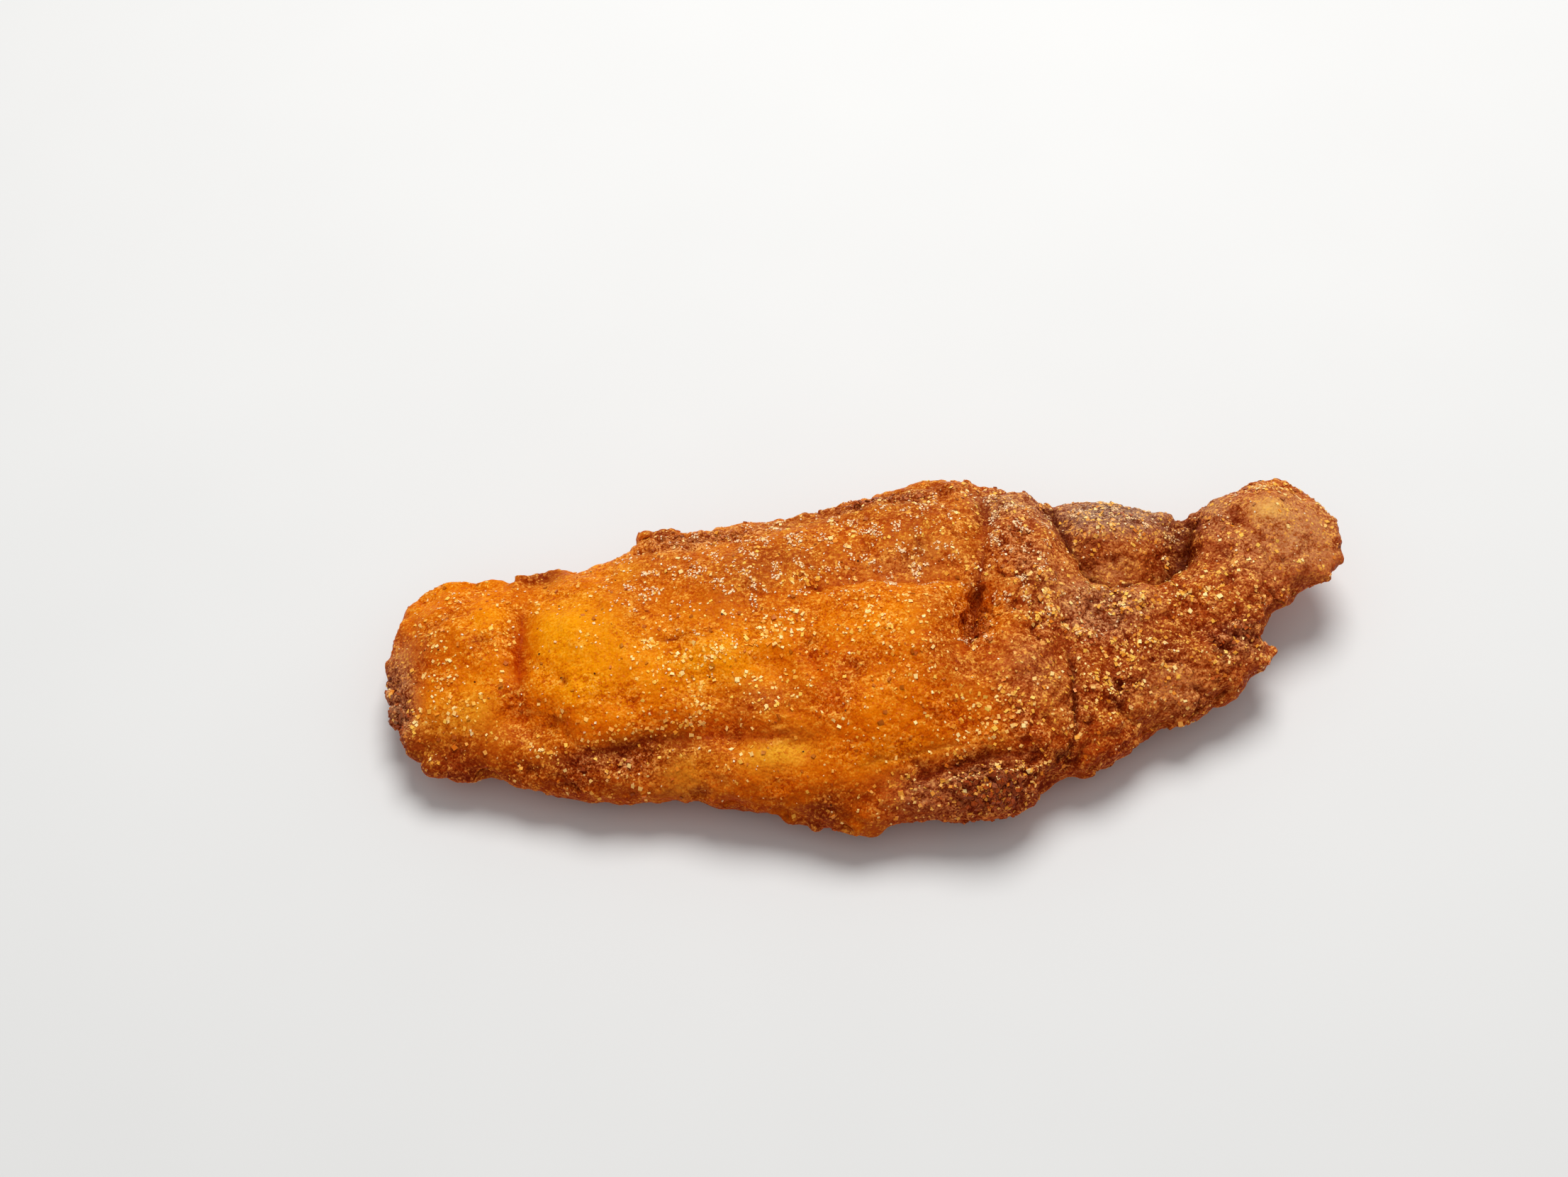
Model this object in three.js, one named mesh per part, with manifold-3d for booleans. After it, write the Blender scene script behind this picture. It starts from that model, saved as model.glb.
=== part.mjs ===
// A fried fish fillet in a cornmeal crust, as one solid: broad and thick at the shoulder, folded where the loin
// meets the belly, and drawn out to a tail whose tip curls back.
// Millimetres, +Z up. +X runs along the fillet towards the tail and +Y towards its back edge.
// The origin is under the middle of the bounding box, on the surface that the fillet lies on.

import * as THREE from "three";
import { LoftGeometry } from "three/addons/geometries/LoftGeometry.js";
import { SimplexNoise } from "three/addons/math/SimplexNoise.js";
import { mergeVertices } from "three/addons/utils/BufferGeometryUtils.js";
import Module from "manifold-3d";

// ---- Driving dimensions ----

const LENGTH = 192;
const HALF_LENGTH = LENGTH / 2;

// The fillet from head end to tail: where its back and front edges lie, how high its crown and rim stand,
// and how low its underside hangs. What hangs below zero is cut off flat, and is what the fillet rests on.
const STATIONS = [
  { x: -96, back: 31.6, front: -17.0, crown: 16.5, rim: 8.5, under: 1.5 },
  { x: -82, back: 30.4, front: -18.0, crown: 18.5, rim: 8.5, under: -0.2 },
  { x: -68, back: 25.8, front: -20.5, crown: 18.5, rim: 8.0, under: -1.0 },
  { x: -58, back: 26.6, front: -24.5, crown: 20.0, rim: 8.0, under: -1.2 },
  { x: -42, back: 31.6, front: -28.0, crown: 21.0, rim: 8.0, under: -1.4 },
  { x: -25, back: 34.2, front: -32.6, crown: 22.0, rim: 8.0, under: -1.5 },
  { x: -8, back: 35.5, front: -38.0, crown: 23.0, rim: 8.0, under: -1.5 },
  { x: 8, back: 38.8, front: -39.2, crown: 24.0, rim: 8.0, under: -1.5 },
  { x: 22, back: 39.8, front: -39.2, crown: 24.0, rim: 8.0, under: -1.4 },
  { x: 31, back: 36.5, front: -34.0, crown: 23.0, rim: 8.0, under: -1.2 },
  { x: 40, back: 31.8, front: -31.5, crown: 21.0, rim: 8.0, under: -0.6 },
  { x: 52, back: 30.8, front: -27.0, crown: 19.0, rim: 8.5, under: 0.6 },
  { x: 62, back: 26.2, front: -24.2, crown: 18.3, rim: 9.3, under: 2.3 },
  { x: 68, back: 23.8, front: -21.0, crown: 18.9, rim: 10.2, under: 3.6 },
  { x: 73, back: 25.4, front: -16.0, crown: 19.7, rim: 11.2, under: 4.9 },
  { x: 78, back: 27.6, front: -6.4, crown: 20.8, rim: 12.0, under: 6.0 },
  { x: 84, back: 28.8, front: -2.6, crown: 22.0, rim: 13.5, under: 8.0 },
  { x: 96, back: 26.5, front: 1.5, crown: 21.0, rim: 14.5, under: 9.6 },
];
const RIDGE = 0.12; // where the crown lies across the fillet, from -1 at the front edge to 1 at the back edge
const TOP_FULLNESS = 2.5; // 2 is an ellipse, and more is a flatter top with rounder shoulders
const UNDER_FULLNESS = 3;
const END_BLUNTNESS = { head: 14, tail: 36 }; // how squarely the outline closes at each end
const END_SLOPE = 7; // how far in from each end the crown and the underside begin to draw together

// Folds in the top, as lines seen from above. A fold is a crease between two rounded flanks: its depth falls
// off over `left` mm on its left, walking along it, and over `right` mm on its right.
const FOLDS = {
  headGroove: { depth: 2.2, left: 1.4, right: 3, line: [[-69, -3], [-67.5, 5], [-67, 14], [-66, 27]] },
  bellyFold: {
    depth: 4, left: 2.2, right: 6,
    line: [[-74, -6.5], [-64, -12], [-54, -17.5], [-42, -18.8], [-34, -18.5], [-25, -21.5], [-12, -24]],
  },
  loinStep: { depth: 3.4, left: 7, right: 1.6, line: [[-11, 6], [-4, 9.5], [3, 10], [11, 7], [21, 6]] },
  cleft: {
    depth: 3, left: 1.8, right: 3.4,
    line: [[28, 34], [27, 25], [24, 14], [21, 5], [18, -4], [15, -12]],
  },
  cleftPit: { depth: 7, left: 1.6, right: 2.8, line: [[22, 6], [20, -1], [17.5, -8]] },
  shoulder: { depth: 5, left: 4, right: 2.2, line: [[41, 34], [40.5, 22], [41.5, 15], [44, 10]] },
  pocket: {
    depth: 8.5, left: 7, right: 2.4,
    line: [[42, 15], [45, 9.5], [51, 6.5], [58, 7], [63, 11], [66, 17], [67.5, 27]],
  },
  tailCrease: {
    depth: 3.8, left: 4, right: 1.8,
    line: [[34.5, -6], [35, -12], [35.5, -18], [35, -23], [32.5, -28], [28.5, -34]],
  },
  stemDip: { depth: 1.8, left: 4, right: 4, line: [[46, -1], [43.5, -8], [44.5, -17]] },
  underfold: {
    depth: 3.6, left: 5, right: 1.8,
    line: [[-9, -37], [-1, -34.5], [8, -32], [17, -31.5], [25, -31], [29, -33.5]],
  },
  midValley: { depth: 2, left: 3, right: 3, line: [[-20.5, -4], [-19, -11], [-17.5, -17], [-11, -24]] },
  frontGroove: { depth: 1.6, left: 3, right: 1.8, line: [[-12, -30.5], [-3, -28.5], [6, -27.5], [15, -26.5]] },
};
const FOLD_TAPER = 5; // a fold deepens over this distance from each of its ends
const FOLD_START = 0.25; // the share of its depth that a fold has at its very ends

// Swellings of the top: where, how wide each way, how high.
const SWELLINGS = {
  headEnd: { at: [-82, 8], reach: [10, 13], height: 0.9 },
  brightLoin: { at: [-55, 3], reach: [12, 12], height: 1.6 },
  midLoin: { at: [-31, -2], reach: [12, 11], height: 1.4 },
  hump: { at: [4, -6], reach: [14, 10], height: 2 },
  shoulderHump: { at: [32, 7], reach: [8, 14], height: 2.2 },
  frontRoll: { at: [17, -37], reach: [15, 5], height: 3 },
  lobe: { at: [53, 18], reach: [10, 8], height: 1.5 },
  stemEdge: { at: [56, 0], reach: [12, 5], height: 2.4 },
  stem: { at: [56, -13], reach: [11, 6], height: 1.8 },
  curledTip: { at: [82, 14], reach: [9, 9], height: 2.2 },
};

// Crags drawn out of the rim: the place that is drawn out, how far around it the crust follows, and the pull.
const CRAGS = {
  tailSpur: { at: [72.5, -13, 9], reach: 7.5, pull: [5.8, 3.2, 0] },
  tailNotch: { at: [77.5, -7, 12], reach: 5, pull: [-2.8, 1.5, 0] },
  tipKnob: { at: [95, 8, 15], reach: 5.5, pull: [2.2, 0, 0] },
  backKnob: { at: [-38.5, 32, 11], reach: 5.5, pull: [0, 2.6, 1] },
  backFlake: { at: [-60, 26.6, 10], reach: 7, pull: [0, 2, 1] },
  frontKnob: { at: [-9, -37, 6], reach: 8, pull: [-1, -2.4, -1] },
  headLobe: { at: [-83.5, -18, 7], reach: 8, pull: [0, -2.6, -1.5] },
};

// Crust relief: lumps of the batter over the whole surface, largest first.
const RELIEF = [
  { spacing: 24, height: 0.9 },
  { spacing: 11, height: 0.55 },
  { spacing: 6, height: 0.26 },
];
const SEED = 7;

// Mesh density
const ROWS = 96;
const TOP_COLUMNS = 38;
const UNDER_COLUMNS = 15;
const END_CROWDING = 0.4; // how much closer the rows lie near the two ends
const END_SETBACK = 0.0005; // the share of the half length left beyond the first and last row, which close flat
const FOLD_SAMPLES = 24;

// ---- Form ----

const MEASURES = ["back", "front", "crown", "rim", "under"];
const profile = new THREE.CubicInterpolant(
  STATIONS.map((station) => station.x),
  STATIONS.flatMap((station) => MEASURES.map((name) => station[name])),
  MEASURES.length,
);

// The measures of the cross-section at x, drawn in at the two ends.
function sectionAt(x) {
  const [back, front, crown, rim, under] = profile.evaluate(x);
  const along = Math.abs(x) / HALF_LENGTH;
  const bluntness = x < 0 ? END_BLUNTNESS.head : END_BLUNTNESS.tail;
  const outline = Math.sqrt(1 - along ** bluntness);
  const slope = Math.sqrt(1 - along ** END_SLOPE);
  return {
    middle: (back + front) / 2,
    half: ((back - front) / 2) * outline,
    rim,
    rise: (crown - rim) * slope,
    drop: (rim - under) * slope,
  };
}

// Each fold with its line as a row of evenly spaced points.
const folds = Object.values(FOLDS).map(({ line, ...fold }) => {
  const curve = new THREE.SplineCurve(line.map(([x, y]) => new THREE.Vector2(x, y)));
  return { ...fold, length: curve.getLength(), points: curve.getSpacedPoints(FOLD_SAMPLES) };
});

// The place on a fold's line that is nearest to (x, y): how far off it is, on which side, and how far along.
function nearestOn(fold, x, y) {
  const best = { distance: Infinity };
  for (let i = 0; i < FOLD_SAMPLES; i++) {
    const start = fold.points[i];
    const run = fold.points[i + 1].clone().sub(start);
    const offset = new THREE.Vector2(x, y).sub(start);
    const share = THREE.MathUtils.clamp(offset.dot(run) / run.lengthSq(), 0, 1);
    const distance = offset.distanceTo(run.clone().multiplyScalar(share));
    if (distance < best.distance) {
      best.distance = distance;
      best.onLeft = run.cross(offset) > 0;
      best.travelled = ((i + share) * fold.length) / FOLD_SAMPLES;
    }
  }
  return best;
}

// How deep the top is cut at (x, y): by the deepest of the folds that reach there.
function foldDepth(x, y) {
  const depths = folds.map((fold) => {
    const { distance, onLeft, travelled } = nearestOn(fold, x, y);
    const fromEnd = Math.min(travelled, fold.length - travelled);
    const taper = Math.min(1, FOLD_START + fromEnd / FOLD_TAPER);
    return fold.depth * taper * Math.exp(-distance / (onLeft ? fold.left : fold.right));
  });
  return Math.max(...depths);
}

function swelling(x, y) {
  return Object.values(SWELLINGS).reduce((sum, { at, reach, height }) => {
    const away = ((x - at[0]) / reach[0]) ** 2 + ((y - at[1]) / reach[1]) ** 2;
    return sum + height * Math.exp(-away);
  }, 0);
}

// Half of a cross-section: over the top from the back edge to the front edge, or back underneath.
class HalfSection extends THREE.Curve {
  constructor(x, isTop) {
    super();
    this.x = x;
    this.isTop = isTop;
    this.measures = sectionAt(x);
  }

  // A point of the plain section, without its folds and swellings.
  getPoint(t, target = new THREE.Vector3()) {
    const { middle, half, rim, rise, drop } = this.measures;
    const across = Math.cos(Math.PI * t) * (this.isTop ? 1 : -1);
    const fromRidge = (across - RIDGE) / (across < RIDGE ? 1 + RIDGE : 1 - RIDGE);
    const dome = Math.sqrt(Math.max(0, 1 - Math.abs(fromRidge) ** TOP_FULLNESS));
    const keel = Math.sqrt(Math.max(0, 1 - Math.abs(across) ** UNDER_FULLNESS));
    return target.set(this.x, middle + half * across, rim + (this.isTop ? rise * dome : -drop * keel));
  }

  // The section's points from one edge to just before the other. They are spaced evenly over the plain section,
  // so that the columns run straight along the fillet whatever folds they cross.
  points(count) {
    const { rim, rise } = this.measures;
    return this.getSpacedPoints(count).slice(0, -1).map((point) => {
      const share = this.isTop ? (point.z - rim) / rise : 0;
      point.z += share * (swelling(point.x, point.y) - foldDepth(point.x, point.y));
      return point;
    });
  }
}

// The x of each row: crowded towards the ends, where the outline turns quickly.
function rowAt(i) {
  const even = (2 * i) / (ROWS - 1) - 1;
  const crowded = Math.sin((even * Math.PI) / 2);
  return HALF_LENGTH * (1 - END_SETBACK) * THREE.MathUtils.lerp(even, crowded, END_CROWDING);
}

function ring(x) {
  return [...new HalfSection(x, true).points(TOP_COLUMNS), ...new HalfSection(x, false).points(UNDER_COLUMNS)];
}

// ---- Crust ----

// A repeatable random draw from 0 to 1: the minimal standard generator of Park and Miller.
function seededRandom(seed) {
  const multiplier = 16807;
  const modulus = 2147483647;
  let state = seed;
  return () => {
    state = (state * multiplier) % modulus;
    return state / modulus;
  };
}
const noise = new SimplexNoise({ random: seededRandom(SEED) });

// Only the positions, with shared corners merged, so that the surface is one closed skin.
function skin(geometry) {
  const bare = new THREE.BufferGeometry().setAttribute("position", geometry.getAttribute("position"));
  return mergeVertices(bare.setIndex(geometry.index));
}

// Calls move(point, i) for every point of a skin, and keeps what it makes of the point.
function movePoints(geometry, move) {
  const position = geometry.getAttribute("position");
  const point = new THREE.Vector3();
  for (let i = 0; i < position.count; i++) {
    point.fromBufferAttribute(position, i);
    move(point, i);
    position.setXYZ(i, point.x, point.y, point.z);
  }
  return geometry;
}

// Draws the crags out of a skin: what lies within a crag's reach follows its pull, the nearer the more.
function drawOutCrags(geometry) {
  const crags = Object.values(CRAGS).map(({ at, reach, pull }) => {
    return { centre: new THREE.Vector3(...at), reach, pull: new THREE.Vector3(...pull) };
  });
  return movePoints(geometry, (point) => {
    for (const { centre, reach, pull } of crags) {
      const away = Math.min(1, point.distanceTo(centre) / reach);
      point.addScaledVector(pull, (1 - away ** 2) ** 2);
    }
  });
}

// Moves every point of a skin along its normal, out or in, as the lumps of the batter do.
function roughen(geometry) {
  geometry.computeVertexNormals();
  const normal = geometry.getAttribute("normal");
  const outward = new THREE.Vector3();
  return movePoints(geometry, (point, i) => {
    const { x, y, z } = point;
    outward.fromBufferAttribute(normal, i);
    for (const { spacing, height } of RELIEF)
      point.addScaledVector(outward, height * noise.noise3d(x / spacing, y / spacing, z / spacing));
  });
}

function body() {
  const rings = Array.from({ length: ROWS }, (_, i) => ring(rowAt(i)));
  const loft = new LoftGeometry(rings, { capStart: true, capEnd: true });
  return roughen(drawOutCrags(skin(loft)));
}

// All that lies below the surface that the fillet rests on.
function floorBlock() {
  const side = 2 * LENGTH;
  return skin(new THREE.BoxGeometry(side, side, side).translate(0, 0, -side / 2));
}

// ---- One solid ----

const wasm = await Module();
wasm.setup();

function solid(closedSkin) {
  return new wasm.Manifold(
    new wasm.Mesh({
      numProp: 3,
      vertProperties: new Float32Array(closedSkin.getAttribute("position").array),
      triVerts: new Uint32Array(closedSkin.index.array),
    }),
  );
}

function toGeometry(manifold) {
  const { vertProperties, triVerts } = manifold.getMesh();
  return new THREE.BufferGeometry()
    .setAttribute("position", new THREE.BufferAttribute(vertProperties, 3))
    .setIndex(new THREE.BufferAttribute(triVerts, 1));
}

// Moves a geometry so that the middle of its box's underside is at the origin.
function standOnOrigin(geometry) {
  geometry.computeBoundingBox();
  const { min, max } = geometry.boundingBox;
  return geometry.translate(-(min.x + max.x) / 2, -(min.y + max.y) / 2, -min.z);
}

const fillet = solid(body()).subtract(solid(floorBlock()));

const crust = new THREE.MeshStandardMaterial({ color: 0xb9661f, roughness: 0.6, metalness: 0 });
const mesh = new THREE.Mesh(standOnOrigin(toGeometry(fillet)), crust);
mesh.name = "fillet";

const part = new THREE.Group();
part.add(mesh);
export default part;
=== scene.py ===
"""A fried fish fillet in a cornmeal crust, on a pale floor in soft light.

The crust is one fine skin of the same form as the solid that it stands for. Grains of meal and salt are
stuck to it all round. The frame is in metres with +Z up. Measures here are in millimetres unless they say
otherwise, and places on the fillet are (x, y) seen from above, with +X towards the tail.
"""

import math
from collections import namedtuple
from types import SimpleNamespace

import bmesh
import bpy
import numpy as np
from mathutils import Matrix, Vector, noise

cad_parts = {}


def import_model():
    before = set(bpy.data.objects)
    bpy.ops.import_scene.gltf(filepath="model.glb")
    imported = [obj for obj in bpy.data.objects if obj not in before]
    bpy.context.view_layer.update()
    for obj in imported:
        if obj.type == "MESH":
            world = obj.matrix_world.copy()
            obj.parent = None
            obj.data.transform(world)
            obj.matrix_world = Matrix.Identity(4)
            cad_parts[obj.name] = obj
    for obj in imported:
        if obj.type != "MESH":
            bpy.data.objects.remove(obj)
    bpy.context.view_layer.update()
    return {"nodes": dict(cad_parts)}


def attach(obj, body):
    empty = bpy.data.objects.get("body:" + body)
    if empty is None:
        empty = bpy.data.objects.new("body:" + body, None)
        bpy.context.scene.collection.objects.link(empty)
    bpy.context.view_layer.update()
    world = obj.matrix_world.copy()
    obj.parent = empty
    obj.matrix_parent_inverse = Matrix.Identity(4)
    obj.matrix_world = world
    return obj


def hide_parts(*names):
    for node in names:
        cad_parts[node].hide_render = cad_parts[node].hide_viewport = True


MM = 0.001
SEED = 11

# ---- Colours, as a screen shows them (red, green, blue from 0 to 255) ----

YELLOW = (241, 154, 0)
GOLD = (231, 128, 0)
AMBER = (212, 106, 0)
ORANGE = (198, 84, 0)
EMBER = (176, 66, 2)
RUSSET = (176, 78, 20)
BROWN = (152, 66, 22)
CHESTNUT = (130, 50, 14)
UMBER = (98, 38, 12)
SCORCH = (136, 34, 0)
SANDY = (196, 116, 50)
TAWNY = (164, 80, 26)
PLUM = (128, 66, 52)
ASHEN = (176, 124, 88)
FROSTED = (156, 121, 104)
FAWN = (202, 138, 90)
CREAM = (222, 166, 90)
BUTTER = (240, 174, 40)
BLACK = (54, 14, 4)

# The darkest and the lightest grains of each kind
HONEY = (236, 138, 20)
STRAW = (255, 212, 92)
CORN = (252, 190, 88)
IVORY = (255, 234, 164)
FLOUR = (244, 198, 136)
SALT = (255, 238, 204)
COCOA = (84, 30, 6)
TOAST = (196, 100, 42)

# ---- Crust measures ----

# The sides of the squares that the skin is made of, and how many rounds of smoothing it gets.
COARSE_SKIN = 0.85
FINE_SKIN = 0.48
COARSE_SMOOTHING = 7
FINE_SMOOTHING = 1
# The share of the skin's faces that stays underneath, where the crust is at least so thick.
KEPT_UNDERNEATH = 0.1
THICK = 4.0
# Small clumps of batter: how many, half their least and most size, and how even a crust has none.
CLUMPS = 900
CLUMP_RADIUS = (0.8, 1.9)
EVEN_ENOUGH = 0.4
# The relief between them, from coarse to fine: how far apart and how high.
SWELL_SPACING = 8
SWELL_HEIGHT = 0.3
MOUND_SPACING = 6.2
MOUND_HEIGHT = 0.95
LUMP_SPACING = 3.4
LUMP_HEIGHT = 0.2
CLUSTER_SPACING = 2.7
CLUSTER_HEIGHT = 0.65
PIT_SPACING = 2.1
PIT_DEPTH = 0.55
PEBBLE_SPACING = 1.5
PEBBLE_HEIGHT = 0.1
# Cracks between the lumps: how deep, how far apart, and how wide as a share of that.
CRACK_DEPTH = 1.0
CRACK_SPACING = 8.0
CRACK_WIDTH = 0.11
# Hollows and heights: the rounds of evening out that they show against, the deepest, and their share.
HOLLOWS = [(4, 0.1, 0.45), (26, 0.45, 0.55)]

# Lumps of batter that stand out from the rim: place, half its size each way, and turned how many degrees.
LUMPS = [
    # The front edge, from the head end to the tail
    ((-94.5, -1.2, 8), (1.2, 2.6, 2.2), 0),
    ((-90.4, -9.4, 8.2), (2.2, 2.3, 2.4), 0),
    ((-86.2, -12.9, 7.6), (3.4, 2.8, 2.9), 10),
    ((-70.9, -17.6, 7), (3.4, 1.7, 2.2), -8),
    ((-18.6, -32.4, 6), (4.2, 2, 2.2), 0),
    ((-15.2, -33.4, 5.6), (2.6, 1.8, 2), 0),
    ((-5.9, -37.2, 6.4), (3, 1.9, 2.2), 0),
    ((36.5, -30.4, 5.4), (2.6, 1.4, 1.8), 0),
    ((75.4, -12.2, 10.9), (2.3, 1.9, 2), 30),
    ((76.5, -11.4, 10.8), (1.9, 1.5, 1.6), 30),
    # The tip of the tail
    ((94.1, 7, 14.2), (1.7, 1.5, 1.9), 0),
    ((92.5, 15, 14.8), (3.5, 3.8, 3.4), 0),
    # The back edge, from the tail to the head end
    ((-5.2, 31.8, 14.4), (3.4, 2, 2.2), 0),
    ((-10.8, 30.2, 15), (4.2, 1.8, 2), 0),
    ((-20.6, 31.6, 13.8), (1.4, 1.3, 1.3), 0),
    ((-39.2, 32.6, 12.6), (2.2, 1.8, 2), 0),
    ((-42, 32.3, 12.2), (2.2, 1.9, 2.1), 0),
    ((-63, 26.3, 12), (2.2, 1.3, 1.4), 15),
    ((-65, 26, 12.4), (1.6, 1.1, 1), 15),
    ((-66.4, 25.9, 12.6), (1.5, 0.95, 0.9), 10),
    ((-68.2, 26, 12.9), (1.7, 0.9, 0.8), 0),
    ((-69.4, 23.6, 12.8), (2, 1.4, 1.6), 0),
    ((-74.5, 25, 12), (4.2, 1.5, 1.7), 0),
    ((-80.5, 25.8, 11.6), (4, 1.5, 1.7), 0),
    ((-86.4, 24.6, 10.2), (3.4, 2.2, 2.2), 0),
    ((-91.4, 16.4, 10.8), (2.6, 3.6, 2.6), 0),
]

# Where the rim is pressed in, or swells out where the depth is negative: place, how far around it the crust
# follows, and how deep.
DENTS = [
    # The head end
    ((-95, 4, 10.3), 9, -1.3),
    ((-91.6, -8, 10.3), 5, -1.5),
    ((-88.8, -12.6, 8.4), 4, -0.9),
    ((-90, 22.6, 11.4), 4.5, -1),
    ((-84.6, 26.8, 10.8), 4.5, -1.1),
    # The front edge
    ((-77.2, -17.2, 7.6), 3.4, 3.4),
    ((-70, -20, 8.1), 5, -0.9),
    ((-37.1, -27.9, 5.7), 4, 1.5),
    ((-31.2, -31, 8), 5, 1.8),
    ((-22.6, -33.2, 8.1), 2.6, 1.7),
    ((-16, -34.2, 5.4), 3.6, -1),
    ((-11.3, -38.8, 7.6), 2.6, 2.6),
    ((1.4, -38.8, 6.6), 2.6, 1.6),
    ((14, -40.2, 8), 5, 0.9),
    ((29.4, -34.8, 8.4), 5.6, 3.8),
    ((40, -29.8, 4.2), 2.6, 1.2),
    ((52.4, -26.6, 8.7), 7.5, 2.7),
    ((64.6, -22.4, 9.7), 6.5, 1.5),
    ((72.4, -17.4, 10.6), 4.5, 1.7),
    # The spur, its notch and the tip of the tail
    ((75.6, -9, 15), 3, 1.4),
    ((76.8, -6.6, 14), 3.6, 2.8),
    ((79.6, -3.4, 12.5), 4.2, 2.6),
    ((86.6, -1.4, 14.2), 6, 3),
    ((95, 12, 15.8), 4.6, -1.3),
    ((90.6, 22.6, 17.8), 5.5, 2.2),
    ((86.4, 25.6, 18.2), 5.5, 2.4),
    # The slope above the fold of the belly
    ((-57, -15.4, 15), 6, -0.9),
    ((-48, -16, 16), 6, -0.9),
    # The back edge
    ((68.4, 22.8, 13.6), 2.6, 1.1),
    ((64, 24.4, 11.2), 4.2, -1.3),
    ((27, 35.8, 15), 3.6, 1.9),
    ((14.4, 38, 13.4), 3.6, -0.9),
    ((4.2, 36.6, 13.7), 5, 1.2),
    ((-8.8, 31, 15.8), 4, -0.9),
    ((-43, 31, 13.6), 4.5, -1.2),
    ((-57.3, 27.4, 12.2), 3.4, 1.3),
]

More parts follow.
